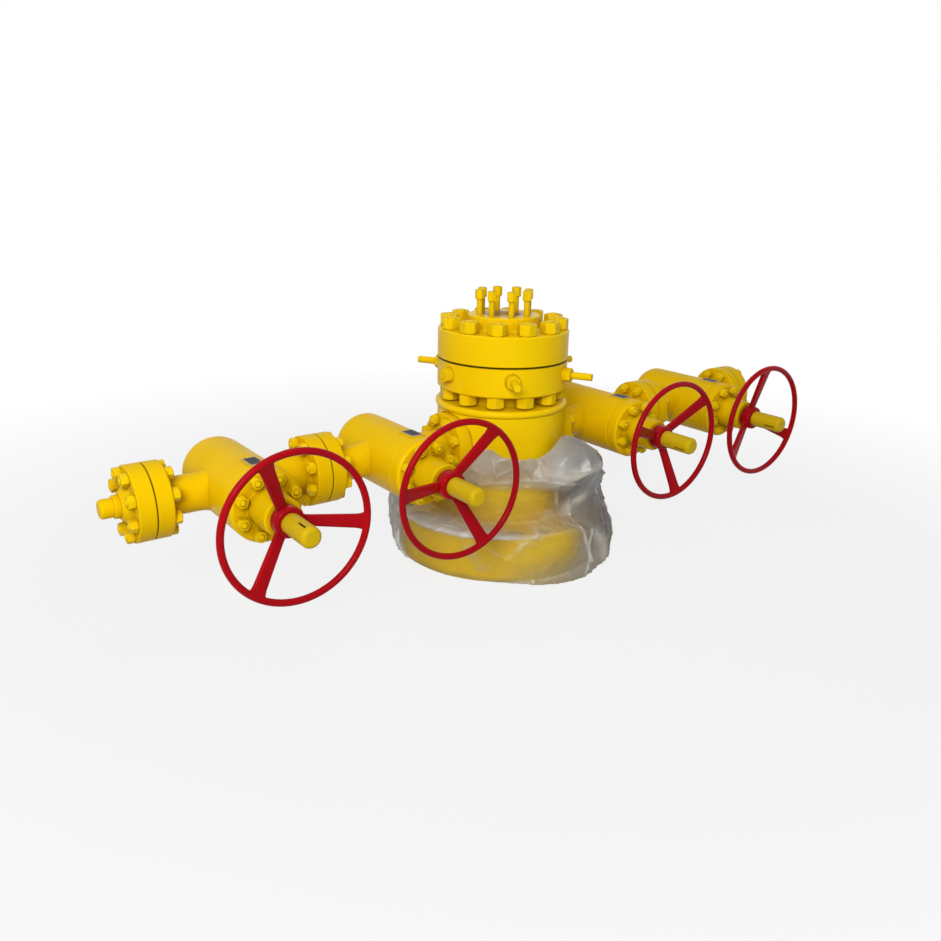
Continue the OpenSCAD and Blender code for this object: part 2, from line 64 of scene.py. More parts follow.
# Fastener sizes. The studs reach past their nuts by the tip, a nut's hole is hidden by the
# thread in it, and a thread starts inside its nut or under the face.
NUT_TIP = 0.004
HOLE_IN = 0.001
JOINT_THREAD_IN = 0.012
THREAD_IN = 0.014
FACE_IN = 0.006
TIP_IN = 0.0005
JOINT_NUT = dict(flats=0.0603, height=0.040, stud=0.0381, pitch=0.0045)
SIDE_NUT = dict(flats=0.0365, height=0.022, stud=0.0222, pitch=0.0028)
TOP_NUT = dict(flats=0.030, height=0.034, stud=0.0222, pitch=0.0028)
BONNET_NUT = dict(flats=0.032, height=0.024, stud=0.019, pitch=0.0025)
JOINT_CIRCLE = 0.403 / 2
SIDE_CIRCLE = 0.1842 / 2
BONNET_CIRCLE = 0.176 / 2
JOINT_NUTS = 12
SMALL_NUTS = 8
CHAMFER = math.tan(math.radians(30))

# Handwheel sizes
RIM_TUBE = 0.0107
RIM_R = 0.228 - RIM_TUBE
DISH = 0.061
SPOKE_HUB_W = 0.032
SPOKE_RIM_W = 0.044
SPOKE_T = 0.016
# How a spoke widens at its ends, with places and lengths as shares of the spoke
RIM_FLARE = dict(start=0.82, length=0.18, width=0.016)
HUB_FLARE = dict(length=0.12, width=0.006)
HUB_R = 0.046
HUB_H = 0.044
HUB_ROUND = 0.009
SLEEVE_R = 0.0212
SLEEVE_L = 0.036
WELD_VOXEL = 0.0021
# Where one spoke of each wheel points, in degrees
WHEEL_TURNS = {"left_outer": 113, "left_inner": 55, "right_inner": 41, "right_outer": 95}

# Camera, matched to the photograph
CAMERA_AT = Vector((-1.9564, -2.4126, 1.3317))
CAMERA_TURN = 0.6464
CAMERA_TILT = 0.3245
CAMERA_ROLL = 0.0228
FOCAL_PX = 847.48
FRAME_PX = 941
SENSOR = 36.0


# Small node helpers

class Shader:
    """Builds one node material."""

    def __init__(self, name):
        self.material = bpy.data.materials.new(name)
        self.material.use_nodes = True
        self.tree = self.material.node_tree
        self.tree.nodes.clear()
        self.out = self.add("ShaderNodeOutputMaterial")
        self.where = self.add("ShaderNodeTexCoord").outputs["Object"]

    def add(self, kind, **settings):
        node = self.tree.nodes.new(kind)
        for key, value in settings.items():
            setattr(node, key, value)
        return node

    def link(self, source, target):
        self.tree.links.new(source, target)

    def noise(self, scale, detail=3.0, rough=0.5):
        node = self.add("ShaderNodeTexNoise")
        node.inputs["Scale"].default_value = scale
        node.inputs["Detail"].default_value = detail
        node.inputs["Roughness"].default_value = rough
        self.link(self.where, node.inputs["Vector"])
        return node.outputs["Fac"]

    def range(self, value, low, high, to_low=0.0, to_high=1.0):
        node = self.add("ShaderNodeMapRange")
        node.inputs["From Min"].default_value = low
        node.inputs["From Max"].default_value = high
        node.inputs["To Min"].default_value = to_low
        node.inputs["To Max"].default_value = to_high
        self.link(value, node.inputs["Value"])
        return node.outputs["Result"]

    def mix(self, factor, first, second):
        node = self.add("ShaderNodeMix", data_type="RGBA")
        for value, socket in ((factor, node.inputs["Factor"]), (first, node.inputs["A"]),
                              (second, node.inputs["B"])):
            self.feed(value, socket)
        return node.outputs["Result"]

    def math(self, operation, first, second=0.0):
        node = self.add("ShaderNodeMath", operation=operation)
        self.feed(first, node.inputs[0])
        self.feed(second, node.inputs[1])
        return node.outputs[0]

    def most(self, *values):
        """The largest of several values."""
        best = values[0]
        for value in values[1:]:
            best = self.math("MAXIMUM", best, value)
        return best

    def feed(self, value, socket):
        """Sets a socket to a number or a colour, or links it."""
        if isinstance(value, bpy.types.NodeSocket):
            self.link(value, socket)
        elif isinstance(value, (int, float)):
            socket.default_value = value
        else:
            socket.default_value = (*value, 1.0)

    def bump(self, height, strength, distance, normal=None):
        node = self.add("ShaderNodeBump")
        node.inputs["Strength"].default_value = strength
        node.inputs["Distance"].default_value = distance
        self.link(height, node.inputs["Height"])
        if normal is not None:
            self.link(normal, node.inputs["Normal"])
        return node.outputs["Normal"]

    def bevel(self, radius):
        node = self.add("ShaderNodeBevel", samples=6)
        node.inputs["Radius"].default_value = radius
        return node.outputs["Normal"]

    def reach(self):
        """Distance from the upright axis, and height."""
        axis = self.add("ShaderNodeSeparateXYZ")
        self.link(self.where, axis.inputs["Vector"])
        flat = self.add("ShaderNodeCombineXYZ")
        self.link(axis.outputs["X"], flat.inputs["X"])
        self.link(axis.outputs["Y"], flat.inputs["Y"])
        out = self.add("ShaderNodeVectorMath", operation="LENGTH")
        self.link(flat.outputs[0], out.inputs[0])
        return out.outputs["Value"], axis.outputs["Z"]

    def facing(self, degrees):
        """Distance from the upright axis towards a bearing."""
        node = self.add("ShaderNodeVectorMath", operation="DOT_PRODUCT")
        self.link(self.where, node.inputs[0])
        a = math.radians(degrees)
        node.inputs[1].default_value = (math.cos(a), math.sin(a), 0)
        return node.outputs["Value"]

    def principled(self, **settings):
        node = self.add("ShaderNodeBsdfPrincipled")
        for key, value in settings.items():
            self.feed(value, node.inputs[key.replace("_", " ")])
        self.link(node.outputs["BSDF"], self.out.inputs["Surface"])
        return node


def paint(name, colour, shade, glint, roughness=0.26, cast=0.35, edge=0.0026, shine=0.42,
          bare_face=None, seam=None, alone=False):
    """Thick gloss paint on forged steel: slow colour drift, painted shade in the corners broken into
    streaks, brushed-on waves.

    bare_face is the radius and height of a face with stained metal inside it. seam is the height
    of a joint whose lips are dirty. alone leaves the other pieces out when it looks for corners.
    """
    s = Shader(name)
    drift = s.range(s.noise(4.5, 4), 0.35, 0.65, 0.0, 0.4)
    base = s.mix(drift, colour, shade)
    # Painted shade: the paint darkens where ambient occlusion finds corners and hollows, broken into
    # streaks by a noise
    occlusion = s.add("ShaderNodeAmbientOcclusion", samples=6, only_local=alone)
    occlusion.inputs["Distance"].default_value = 0.05
    corner_shade = s.range(occlusion.outputs["AO"], 0.2, 0.9, 0.8, 0.0)
    streak = s.range(s.noise(26, 5, 0.6), 0.25, 0.65, 0.35, 1.0)
    base = s.mix(s.math("MULTIPLY", corner_shade, streak), base, tuple(0.40 * c for c in shade))
    specks = s.range(s.noise(160, 2, 0.5), 0.73, 0.79, 0.0, 0.45)
    base = s.mix(specks, base, tuple(0.55 * c for c in shade))
    gloss = s.range(s.noise(11, 4), 0.3, 0.7, roughness, roughness + 0.16)
    if bare_face is not None:
        radius, height = bare_face
        reach, z = s.reach()
        face = s.math("MULTIPLY", s.range(reach, radius - 0.002, radius + 0.002, 1.0, 0.0),
                      s.range(z, height - 0.001, height + 0.001))
        stain = s.range(s.noise(30, 5, 0.6), 0.35, 0.65)
        base = s.mix(face, base, s.mix(stain, (0.52, 0.33, 0.12), (0.26, 0.14, 0.05)))
    if seam is not None:
        z = s.reach()[1]
        lip = s.math("MULTIPLY", s.range(z, seam - SEAM_LIP, seam - 0.5 * SEAM_LIP),
                     s.range(z, seam + 0.5 * SEAM_LIP, seam + SEAM_LIP, 1.0, 0.0))
        base = s.mix(s.math("MULTIPLY", lip, 0.85), base, tuple(0.08 * c for c in shade))
    waves = s.noise(38, 3, 0.55)
    peel = s.noise(420, 2, 0.5)
    normal = s.bump(waves, cast, 0.0016, s.bevel(edge))
    normal = s.bump(peel, 0.12, 0.0003, normal)
    s.principled(Base_Color=base, Roughness=gloss, Normal=normal, Specular_IOR_Level=shine,
                 Specular_Tint=glint, Coat_Weight=0.06 * shine, Coat_Roughness=0.1,
                 IOR=1.10 + 0.3 * shine)
    return s.material


# Colours of the paints, each with a darker one that it drifts to
YELLOW = (0.93, 0.62, 0.0015)
YELLOW_SHADE = (0.84, 0.50, 0.001)
YELLOW_GLINT = (1.0, 0.78, 0.16)
# Painted shade: the arms carry the head's yellow made darker, though they are the same paint
ARM_YELLOW_SHADED = (0.86, 0.545, 0.0015)
ARM_SHADE = (0.77, 0.44, 0.001)
NUT_YELLOW = (0.90, 0.61, 0.003)
CAP_YELLOW = (0.62, 0.42, 0.006)
CAP_SHADE = (0.50, 0.31, 0.005)
RED = (0.40, 0.0035, 0.006)
RED_SHADE = (0.20, 0.003, 0.012)
RED_GLINT = (1.0, 0.28, 0.26)

# The joint under the adapter, how far its dirt reaches, and the bare ring face on top
HEAD_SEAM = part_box("head_adapter")[0].z
SEAM_LIP = 0.0055
BARE_RING = (0.080, TOP_FACE - 0.008)

head_paint = paint("head_paint", YELLOW, YELLOW_SHADE, YELLOW_GLINT, seam=HEAD_SEAM, alone=True)
# The arms' paint is the head's yellow darkened as painted shade
shaded_arm_paint = paint("shaded_arm_paint", ARM_YELLOW_SHADED, ARM_SHADE, YELLOW_GLINT, edge=0.004, shine=0.22)
adapter_paint = paint("adapter_paint", YELLOW, YELLOW_SHADE, YELLOW_GLINT,
                      bare_face=BARE_RING, seam=HEAD_SEAM)
fastener_paint = paint("fastener_paint", NUT_YELLOW, YELLOW_SHADE, YELLOW_GLINT, roughness=0.3,
                       cast=0.4, edge=0.006, shine=0.34)
cap_paint = paint("cap_paint", CAP_YELLOW, CAP_SHADE, YELLOW_GLINT, roughness=0.34, cast=0.2)
red_paint = paint("red_paint", RED, RED_SHADE, RED_GLINT, roughness=0.22, cast=0.25, edge=0.0009,
                  shine=0.36)


def plate_material():
    """A dark plate with a thin bright edge."""
    s = Shader("nameplate")
    place = s.add("ShaderNodeTexCoord").outputs["Generated"]
    axis = s.add("ShaderNodeSeparateXYZ")
    s.link(place, axis.inputs["Vector"])
    across = s.math("ABSOLUTE", s.math("SUBTRACT", axis.outputs["X"], 0.5))
    along = s.math("ABSOLUTE", s.math("SUBTRACT", axis.outputs["Y"], 0.5))
    edge = s.most(s.range(across, 0.44, 0.45), s.range(along, 0.472, 0.477))
    grime = s.range(s.noise(60, 4), 0.4, 0.65)
    dark = s.mix(grime, (0.010, 0.010, 0.009), (0.024, 0.021, 0.016))
    base = s.mix(edge, dark, (0.42, 0.40, 0.34))
    s.principled(Base_Color=base, Roughness=0.5, Specular_IOR_Level=0.2, Normal=s.bevel(0.0006))
    return s.material


plate_metal = plate_material()


def dress(obj, material):
    obj.data.materials.clear()
    obj.data.materials.append(material)


# Mesh helpers

def new_piece(name, mesh, material, body):
    obj = bpy.data.objects.new(name, mesh)
    bpy.context.scene.collection.objects.link(obj)
    dress(obj, material)
    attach(obj, body)
    return obj


def smooth_by_angle(mesh, degrees=32):
    mesh.shade_smooth()
    mesh.set_sharp_from_angle(angle=math.radians(degrees))


class Builder:
    """Collects vertices and faces of many small shapes into one mesh."""

    def __init__(self):
        self.points = []
        self.faces = []

    def loop_skin(self, loops, place, closed_start=False, closed_end=False, turn=0):
        """Joins equal loops of points with quads. turn shifts each row at the seam, for a thread."""
        first = len(self.points)
        count = len(loops[0])
        for loop in loops:
            self.points.extend(place @ Vector(p) for p in loop)
        rows = len(loops)
        for j in range(rows - 1):
            for i in range(count):
                k = (i + 1) % count
                shift = turn if k == 0 else 0
                if j + 1 + shift >= rows:
                    continue
                self.faces.append((first + j * count + i, first + (j + shift) * count + k,
                                   first + (j + 1 + shift) * count + k,
                                   first + (j + 1) * count + i))
        if closed_start:
            self.faces.append(tuple(first + i for i in reversed(range(count))))
        if closed_end:
            last = first + (rows - 1) * count
            self.faces.append(tuple(last + i for i in range(count)))

    def mesh(self, name):
        mesh = bpy.data.meshes.new(name)
        mesh.from_pydata([tuple(p) for p in self.points], [], self.faces)
        mesh.update()
        return mesh


def ring(radius, z, count):
    return [(radius * math.cos(2 * math.pi * i / count),
             radius * math.sin(2 * math.pi * i / count), z) for i in range(count)]


def turned(builder, profile, place, count=32):
    """A turned solid from (radius, z) points. A first or last radius of zero closes it."""
    loops = [ring(max(r, 1e-5), z, count) for r, z in profile]
    builder.loop_skin(loops, place, True, True)


def add_nut(builder, place, flats, height, hole, turn=0.0):
    """A hexagon nut with chamfered corners on both ends, its base on z = 0."""
    count = 48
    inner = flats / 2
    rim = inner * 0.985
    low, side_low, side_high, high = [], [], [], []
    for i in range(count):
        a = 2 * math.pi * i / count
        local = (math.degrees(a) % 60) - 30
        r = inner / math.cos(math.radians(local))
        drop = (r - rim) * CHAMFER
        c, s = math.cos(a + turn), math.sin(a + turn)
        low.append((rim * c, rim * s, 0))
        side_low.append((r * c, r * s, drop))
        side_high.append((r * c, r * s, height - drop))
        high.append((rim * c, rim * s, height))
    hole_top = [(hole * math.cos(2 * math.pi * i / count + turn),
                 hole * math.sin(2 * math.pi * i / count + turn), height - 0.0006)
                for i in range(count)]
    builder.loop_skin([low, side_low, side_high, high, hole_top], place, True, False)


def add_thread(builder, place, radius, z0, z1, pitch, count=20):
    """A threaded shank filled with paint, from z0 to z1, with a domed end at z1."""
    depth = 0.3 * pitch
    steps = max(2, int((z1 - z0 - pitch) / pitch * 2))
    loops = []
    for j in range(steps):
        r = radius - (depth if j % 2 else 0.0)
        z = z0 + j * pitch / 2
        loops.append([(r * math.cos(2 * math.pi * i / count), r * math.sin(2 * math.pi * i / count),
                       z + pitch * i / count) for i in range(count)])
    builder.loop_skin(loops, place, False, False, turn=2)
    core = radius - 0.75 * depth
    turned(builder, [(0, z0), (core, z0), (core, z1 - 0.0035), (core * 0.93, z1 - 0.0018),
                     (core * 0.72, z1 - 0.0005), (core * 0.4, z1), (0, z1)], place, count)


def circle_places(count, radius, base=Matrix.Identity(4)):
    """Places of a bolt circle that straddles the axes."""
    for i in range(count):
        a = (i + 0.5) * 2 * math.pi / count
        yield base @ Matrix.Rotation(a, 4, "Z") @ Matrix.Translation((radius, 0, 0))


def add_sized_nut(builder, place, size, z, turn):
    """A nut of one of the fastener sizes, its base at z."""
    add_nut(builder, place @ Matrix.Translation((0, 0, z)), size["flats"], size["height"],
            size["stud"] / 2 - HOLE_IN, turn)


def joint_fasteners():
    """Nuts above and below the head joint, and the ends of its studs."""
    b = Builder()
    size = JOINT_NUT
    low = JOINT_LOW + NUT_TIP
    high = JOINT_HIGH - NUT_TIP
    rng = random.Random(11)
    for place in circle_places(JOINT_NUTS, JOINT_CIRCLE):
        for z in (high - size["height"], low):
            add_sized_nut(b, place, size, z, rng.uniform(-0.35, 0.35) + math.pi / 6)
        add_thread(b, place, size["stud"] / 2, high - JOINT_THREAD_IN, JOINT_HIGH,
                   size["pitch"], 28)
        flip = place @ Matrix.Rotation(math.pi, 4, "X")
        add_thread(b, flip, size["stud"] / 2, -low - JOINT_THREAD_IN, -JOINT_LOW,
                   size["pitch"], 28)
    return b


def top_fasteners():
    """Threaded studs on the top face, with nuts at their tips."""
    b = Builder()
    size = TOP_NUT
    rng = random.Random(12)
    for place in circle_places(SMALL_NUTS, SIDE_CIRCLE):
        add_sized_nut(b, place, size, TOP_STUDS - size["height"], rng.uniform(-0.5, 0.5))
        add_thread(b, place, size["stud"] / 2, TOP_FACE - FACE_IN, TOP_STUDS - TIP_IN,
                   size["pitch"])
    return b


def side_frame(side, x):
    """A frame whose Z points outwards along an arm at a distance x from the axis."""
    sign = SIDES[side]
    return Matrix.Translation((sign * x, 0, ARM_Z)) @ Matrix.Rotation(sign * math.pi / 2, 4, "Y")


def side_fasteners(side, part):
    """Nuts and stud ends of one joint of an arm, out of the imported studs' box."""
    b = Builder()
    size = SIDE_NUT
    low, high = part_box(f"{side}_{part}_studs")
    near, far = sorted((abs(low.x), abs(high.x)))
    rng = random.Random(f"{side}{part}")
    ends = [(far, 1)]
    if part != "outlet":
        ends.append((near, -1))
    for end, way in ends:
        base = side_frame(side, end)
        if way < 0:
            base = base @ Matrix.Rotation(math.pi, 4, "X")
        for place in circle_places(SMALL_NUTS, SIDE_CIRCLE, base):
            add_sized_nut(b, place, size, -NUT_TIP - size["height"], rng.uniform(-0.5, 0.5))
            add_thread(b, place, size["stud"] / 2, -THREAD_IN, 0.0, size["pitch"])
    return b


def valve_frame(valve):
    """A frame at the valve's centre: Z to the front, X to the right, Y up."""
    low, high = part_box(f"{valve}_stem_cap")
    return Matrix.Translation(((low.x + high.x) / 2, 0, ARM_Z)) @ Matrix.Rotation(math.pi / 2, 4, "X")


def bonnet_fasteners(valve):
    """Nuts and stud ends round one bonnet."""
    b = Builder()
    size = BONNET_NUT
    front = -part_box(f"{valve}_bonnet_nuts")[0].y
    rng = random.Random(valve)
    for place in circle_places(SMALL_NUTS, BONNET_CIRCLE, valve_frame(valve)):
        add_sized_nut(b, place, size, front - NUT_TIP - size["height"], rng.uniform(-0.5, 0.5))
        add_thread(b, place, size["stud"] / 2, front - THREAD_IN, front, size["pitch"])
    return b


def make_fasteners():
    """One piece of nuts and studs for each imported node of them."""
    jobs = [("joint_nuts", joint_fasteners(), "head_joint_studs"),
            ("top_nuts", top_fasteners(), "top_studs")]
    for side in SIDES:
        for part in ("outlet", "middle", "end"):
            jobs.append((f"{side}_{part}_nuts", side_fasteners(side, part), f"{side}_{part}_studs"))
    for valve in VALVES:
        jobs.append((f"{valve}_cover_nuts", bonnet_fasteners(valve), f"{valve}_bonnet_nuts"))
    for name, builder, node in jobs:
        mesh = builder.mesh(name)
        smooth_by_angle(mesh, 28)
        piece = new_piece(name, mesh, fastener_paint, "root")
        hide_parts(node)


def spoke_loops(count=24, steps=14):
    """Cross-sections of one spoke in the wheel's frame, from inside the hub into the rim."""
    start = Vector((HUB_R - 0.008, 0, 0))
    run = Vector((RIM_R, 0, DISH)) - start
    across = Vector((0, 1, 0))
    normal = run.normalized().cross(across)
    loops = []
    for j in range(steps):
        t = j / (steps - 1)
        at_rim = max(0.0, (t - RIM_FLARE["start"]) / RIM_FLARE["length"])
        at_hub = max(0.0, (HUB_FLARE["length"] - t) / HUB_FLARE["length"])
        flare = at_rim ** 2 * RIM_FLARE["width"] + at_hub ** 2 * HUB_FLARE["width"]
        half = (SPOKE_HUB_W + (SPOKE_RIM_W - SPOKE_HUB_W) * t + flare) / 2
        thick = SPOKE_T / 2
        centre = start + run * t
        loop = []
        for i in range(count):
            a = 2 * math.pi * i / count
            c, s = math.cos(a), math.sin(a)
            x = math.copysign(abs(c) ** 0.35, c) * half
            y = math.copysign(abs(s) ** 0.5, s) * thick
            loop.append(centre + across * x + normal * y)
        loops.append(loop)
    return loops


def wheel_mesh():
    """Rim, spokes and hub joined with soft welds. The hub's middle lies at z = 0."""
    b = Builder()
    still = Matrix.Identity(4)
    tube = [[((RIM_R + RIM_TUBE * math.cos(q)) * math.cos(p),
              (RIM_R + RIM_TUBE * math.cos(q)) * math.sin(p), DISH + RIM_TUBE * math.sin(q))
             for q in (2 * math.pi * j / 24 for j in range(24))]
            for p in (2 * math.pi * i / 144 for i in range(145))]
    b.loop_skin(tube, still)
    for k in range(3):
        b.loop_skin(spoke_loops(), Matrix.Rotation(2 * math.pi * k / 3, 4, "Z"), True, True)
    back, front = -HUB_H / 2, HUB_H / 2
    rounding = [(HUB_R - HUB_ROUND + HUB_ROUND * math.sin(q),
                 front - HUB_ROUND + HUB_ROUND * math.cos(q))
                for q in (math.pi / 2 * j / 5 for j in range(5, -1, -1))]
    turned(b, [(0, back - SLEEVE_L), (SLEEVE_R, back - SLEEVE_L), (SLEEVE_R, back),
               (HUB_R - 0.004, back), (HUB_R, back + 0.004)] + rounding + [(0, front)], still, 64)
    mesh = b.mesh("wheel_shape")
    form = bmesh.new()
    form.from_mesh(mesh)
    bmesh.ops.remove_doubles(form, verts=form.verts, dist=1e-6)
    bmesh.ops.recalc_face_normals(form, faces=form.faces)
    form.to_mesh(mesh)
    form.free()
    shape = bpy.data.objects.new("wheel_shape", mesh)
    bpy.context.scene.collection.objects.link(shape)
    remesh = shape.modifiers.new("join", "REMESH")
    remesh.mode = "VOXEL"
    remesh.voxel_size = WELD_VOXEL
    soft = shape.modifiers.new("soft", "SMOOTH")
    soft.factor = 0.5
    soft.iterations = 5
    bpy.context.view_layer.update()
    done = bpy.data.meshes.new_from_object(shape.evaluated_get(
        bpy.context.evaluated_depsgraph_get()))
    bpy.data.objects.remove(shape)
    return done


def make_wheels():
    """The same wheel on each stem, turned as in the photograph."""
    shape = wheel_mesh()
    for valve, turn in WHEEL_TURNS.items():
        rim_y = -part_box(f"{valve}_handwheel")[0].y - RIM_TUBE
        mesh = shape.copy()
        mesh.transform(valve_frame(valve) @ Matrix.Translation((0, 0, rim_y - DISH))
                       @ Matrix.Rotation(math.radians(turn), 4, "Z"))
        mesh.shade_smooth()
        wheel = new_piece(f"{valve}_wheel_paint", mesh, red_paint, f"{valve}_wheel")
        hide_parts(f"{valve}_handwheel")


def finish_nodes():
    """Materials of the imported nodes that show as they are."""
    head = {"head_adapter": adapter_paint, "tubing_head": head_paint}
    for name, node in nodes.items():
        if node.hide_render or name == "base_film":
            continue
        if name.endswith("stem_cap"):
            material, slot = cap_paint, "cap_paint"
        elif name.endswith("nameplate"):
            material, slot = plate_metal, "bare_plate"
        elif name == "lock_screws":
            material, slot = fastener_paint, "fastener_paint"
        else:
            material, slot = head.get(name, shaded_arm_paint), "yellow_paint"
        dress(node, material)


make_fasteners()
make_wheels()
finish_nodes()


# The film round the base

FILM_COLUMNS = 560
FILM_ROWS = 130
# Heights of the base flange's top under the film, of the film's lying part, and of its mean top
RIM_TOP = 0.1725
LEDGE = 0.18
BODY_TOP = 0.42
# Bearings where the film stands off: the right, the flap over it, the skirt, a shoulder, the left
RIGHT = math.radians(-48)
FLAP = math.radians(-73)
SKIRT = math.radians(-88)
SHOULDER = math.radians(-141)
LEFT = math.radians(141)
# Share of the way up the film, radius, and height, where it lies close and where it stands off
CLOSE = ((0.0, 0.391, 0.005), (0.27, 0.390, 0.160), (0.31, 0.387, 0.178), (0.50, 0.292, 0.183),
         (0.57, 0.266, 0.200), (0.70, 0.261, 0.262), (0.82, 0.252, 0.325), (1.0, 0.246, BODY_TOP))
RIGHT_LOOSE = ((0.0, 0.432, 0.005), (0.17, 0.434, 0.07), (0.30, 0.428, 0.125), (0.42, 0.402, 0.20),
               (0.52, 0.378, 0.262), (0.66, 0.406, 0.320), (0.76, 0.424, 0.352),
               (0.85, 0.412, 0.384), (0.93, 0.350, 0.411), (1.0, 0.262, BODY_TOP))
LEFT_LOOSE = ((0.0, 0.398, 0.005), (0.17, 0.418, 0.07), (0.36, 0.427, 0.155), (0.55, 0.410, 0.235),
              (0.72, 0.365, 0.305), (0.87, 0.318, 0.36), (1.0, 0.285, BODY_TOP))

# Broad folds, then pressed creases: bearings in degrees and heights along each
FOLDS = (
    ((-117, 0.125), (-108, 0.165), (-96, 0.200), (-84, 0.215), (-72, 0.262)),
    ((-172, 0.176), (-158, 0.178), (-146, 0.176)),
    ((-143, 0.120), (-137, 0.060)),
    ((-70, 0.150), (-64, 0.080), (-66, 0.030)),
    ((-98, 0.345), (-84, 0.370), (-74, 0.395)),
)
CREASES = (
    ((-135, 0.137), (-123, 0.090), (-113, 0.162), (-98, 0.200), (-89, 0.208)),
    ((-119, 0.130), (-115, 0.157), (-108, 0.140)),
    ((-174, 0.098), (-159, 0.185)),
    ((-170, 0.205), (-160, 0.245), (-151, 0.285)),
    ((-80, 0.258), (-79, 0.188), (-75, 0.040)),
    ((-85, 0.005), (-77, 0.045), (-73, 0.147)),
    ((-91, 0.322), (-85, 0.225)),
    ((-134, 0.404), (-132, 0.349)),
    ((-145, 0.316), (-113, 0.333), (-82, 0.331)),
    ((-62, 0.30), (-50, 0.16), (-55, 0.02)),
    ((-38, 0.38), (-30, 0.22), (-22, 0.03)),
    ((8, 0.19), (24, 0.07), (40, 0.16), (62, 0.20)),
    ((55, 0.34), (68, 0.24)),
    ((80, 0.15), (100, 0.05), (112, 0.17)),
    ((128, 0.33), (137, 0.20), (150, 0.03)),
    ((165, 0.20), (172, 0.09)),
)
CREASE_R = 0.38
CREASE_W = 0.0052
FOLD_W = 0.021

# The film's clearance from the metal and the floor, and past the flange's edge
FILM_GAP = 0.002
EDGE_GAP = 0.003
# The head under the film: radius and top of its flange and its hub, then the radius of the
# neck and the height where its taper from the hub ends
METAL_FLANGE = (0.3842, 0.172)
METAL_HUB = (0.2556, 0.262)
METAL_NECK = (0.2390, 0.322)

# Tints of the film, several of them painted light, shade, highlight and reflection as marked
CLOUDY = (0.52, 0.50, 0.47)
CLOUDY_SHADE = (0.37, 0.33, 0.29)
# Painted shade: the film's own grey and brown on its right side made darker, the brown darkest at the
# far right
BROWN_SHADED = (0.15, 0.126, 0.095)
BROWN_SHADE = (0.07, 0.057, 0.038)
DENSE_SHADED = (0.195, 0.187, 0.173)
# Painted light: a brighter yellow over the flange's rim, lifting the shade that the wheels, valves
# and film cast there
OVER_RIM_LIGHT = (0.43, 0.325, 0.10)
OVER_HUB = (0.235, 0.165, 0.085)
# Painted reflection and shade in the skirt: the flange's yellow and the shaded floor seen in it,
# darker towards the right
SKIRT_REFLECTION = (0.40, 0.295, 0.07)
SKIRT_SHADE = (0.19, 0.15, 0.085)
# Painted reflection: the sky's pale grey on the film where it lies on the flange's top at the front
# left
LEDGE_SKY_REFLECTION = (0.62, 0.62, 0.60)
# Painted highlight along the creases and folds, where the film is also denser
CREASE_HIGHLIGHT = (0.72, 0.67, 0.56)
# Painted shadow along the hem, where the film meets the floor
HEM_SHADOW = (0.15, 0.12, 0.07)


def angle_from(a, centre):
    """Signed angle from a bearing, within half a turn."""
    return math.atan2(math.sin(a - centre), math.cos(a - centre))


def bell(a, centre, width):
    """One at a bearing, fading over a width."""
    return math.exp(-(angle_from(a, centre) / width) ** 2)


def along(path, v):
    """Radius and height on a path, with its corners softened."""
    shares = [p[0] for p in path]
    near = [min(1.0, max(0.0, v + d)) for d in (-0.03, -0.015, 0, 0.015, 0.03)]
    return (float(np.mean(np.interp(near, shares, [p[1] for p in path]))),
            float(np.mean(np.interp(near, shares, [p[2] for p in path]))))


CLOSE_ROWS = [along(CLOSE, j / (FILM_ROWS - 1)) for j in range(FILM_ROWS)]
RIGHT_ROWS = [along(RIGHT_LOOSE, j / (FILM_ROWS - 1)) for j in range(FILM_ROWS)]
LEFT_ROWS = [along(LEFT_LOOSE, j / (FILM_ROWS - 1)) for j in range(FILM_ROWS)]


def film_top(a):
    """Height of the film's torn upper edge round the body."""
    arms = max(bell(a, 0, 0.40), bell(a, math.pi, 0.40))
    free = 0.414 + 0.080 * bell(a, FLAP, 0.21) + 0.052 * bell(a, SHOULDER, 0.25)
    tear = 0.014 * noise.noise(Vector((2.6 * math.cos(a), 2.6 * math.sin(a), 3.1)))
    tear += 0.007 * noise.noise(Vector((11 * math.cos(a), 11 * math.sin(a), 8.7)))
    tear += 0.003 * noise.noise(Vector((45 * math.cos(a), 45 * math.sin(a), 1.3)))
    return free + (0.296 - free) * min(1.0, 1.3 * arms) + tear * (1 - 0.6 * min(1.0, arms))


def metal_radius(z):
    """Radius of the head at a height, which the film stays clear of."""
    flange_r, flange_z = METAL_FLANGE
    hub_r, hub_z = METAL_HUB
    neck_r, neck_z = METAL_NECK
    if z < flange_z:
        return flange_r
    if z < hub_z:
        return hub_r
    if z < neck_z:
        return hub_r - (hub_r - neck_r) * (z - hub_z) / (neck_z - hub_z)
    return neck_r


def ridge(p):
    """A crease: sharp along its crest and flat beside it."""
    return (1 - min(1.0, 2.6 * abs(noise.noise(p)))) ** 3


def near_lines(lines, width, a, z):
    """Near one on a line of a list, zero away from it."""
    best = 1.0
    for path in lines:
        for (a0, z0), (a1, z1) in zip(path, path[1:]):
            x0 = angle_from(math.radians(a0), a) * CREASE_R
            run = Vector((math.radians(a1 - a0) * CREASE_R, z1 - z0))
            to = Vector((-x0, z - z0))
            share = min(1.0, max(0.0, to.dot(run) / run.length_squared))
            best = min(best, (to - run * share).length)
    return math.exp(-(best / width) ** 2)


